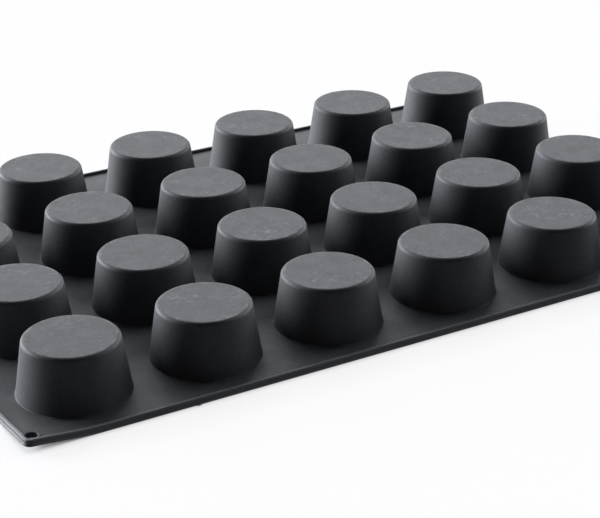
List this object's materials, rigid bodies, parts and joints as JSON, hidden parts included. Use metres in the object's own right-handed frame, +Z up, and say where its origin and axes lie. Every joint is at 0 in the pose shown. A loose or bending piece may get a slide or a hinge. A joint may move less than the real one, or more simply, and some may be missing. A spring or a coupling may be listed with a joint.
{
  "type": "silicone muffin mould",
  "caption": "Flexible silicone baking mat in the bakery-tray size, with rows of tapered muffin cups joined by a thin web, a beaded rim and hanging holes; the web bends between columns.",
  "frame": {"origin": "middle of the mat on the plane of the cup mouths, which it rests on as pictured", "axes": "+X along the long side, across the columns; +Y along the short side, away from the picture's near edge; +Z up, out through the cup floors"},
  "size_m": [0.6, 0.4, 0.0417],
  "materials": {
    "silicone": "matt moulded silicone, charcoal"
  },
  "bodies": {
    "column_1": {"web_panel_1": "silicone", "cup_1a": "silicone", "cup_1b": "silicone", "cup_1c": "silicone", "cup_1d": "silicone"},
    "column_2": {"web_panel_2": "silicone", "cup_2a": "silicone", "cup_2b": "silicone", "cup_2c": "silicone", "cup_2d": "silicone", "flex_strip_1": "silicone"},
    "column_3": {"web_panel_3": "silicone", "cup_3a": "silicone", "cup_3b": "silicone", "cup_3c": "silicone", "cup_3d": "silicone", "flex_strip_2": "silicone", "flex_strip_3": "silicone"},
    "column_4": {"web_panel_4": "silicone", "cup_4a": "silicone", "cup_4b": "silicone", "cup_4c": "silicone", "cup_4d": "silicone", "flex_strip_4": "silicone"},
    "column_5": {"web_panel_5": "silicone", "cup_5a": "silicone", "cup_5b": "silicone", "cup_5c": "silicone", "cup_5d": "silicone", "flex_strip_5": "silicone"},
    "column_6": {"web_panel_6": "silicone", "cup_6a": "silicone", "cup_6b": "silicone", "cup_6c": "silicone", "cup_6d": "silicone"}
  },
  "joints": [
    {"name": "fold_3", "type": "hinge", "parent": "column_3", "child": "column_4", "pos_m": [0, 0, 0.0011], "axis": [0, -1, 0], "range_deg": [-45, 35], "stiffness_Nm_per_rad": 0.1, "deforming": ["flex_strip_3"]},
    {"name": "fold_4", "type": "hinge", "parent": "column_4", "child": "column_5", "pos_m": [0.097, 0, 0.0011], "axis": [0, -1, 0], "range_deg": [-45, 35], "stiffness_Nm_per_rad": 0.1, "deforming": ["flex_strip_4"]},
    {"name": "fold_5", "type": "hinge", "parent": "column_5", "child": "column_6", "pos_m": [0.194, 0, 0.0011], "axis": [0, -1, 0], "range_deg": [-45, 35], "stiffness_Nm_per_rad": 0.1, "deforming": ["flex_strip_5"]},
    {"name": "fold_2", "type": "hinge", "parent": "column_3", "child": "column_2", "pos_m": [-0.097, 0, 0.0011], "axis": [0, 1, 0], "range_deg": [-45, 35], "stiffness_Nm_per_rad": 0.1, "deforming": ["flex_strip_2"]},
    {"name": "fold_1", "type": "hinge", "parent": "column_2", "child": "column_1", "pos_m": [-0.194, 0, 0.0011], "axis": [0, 1, 0], "range_deg": [-45, 35], "stiffness_Nm_per_rad": 0.1, "deforming": ["flex_strip_1"]}
  ]
}
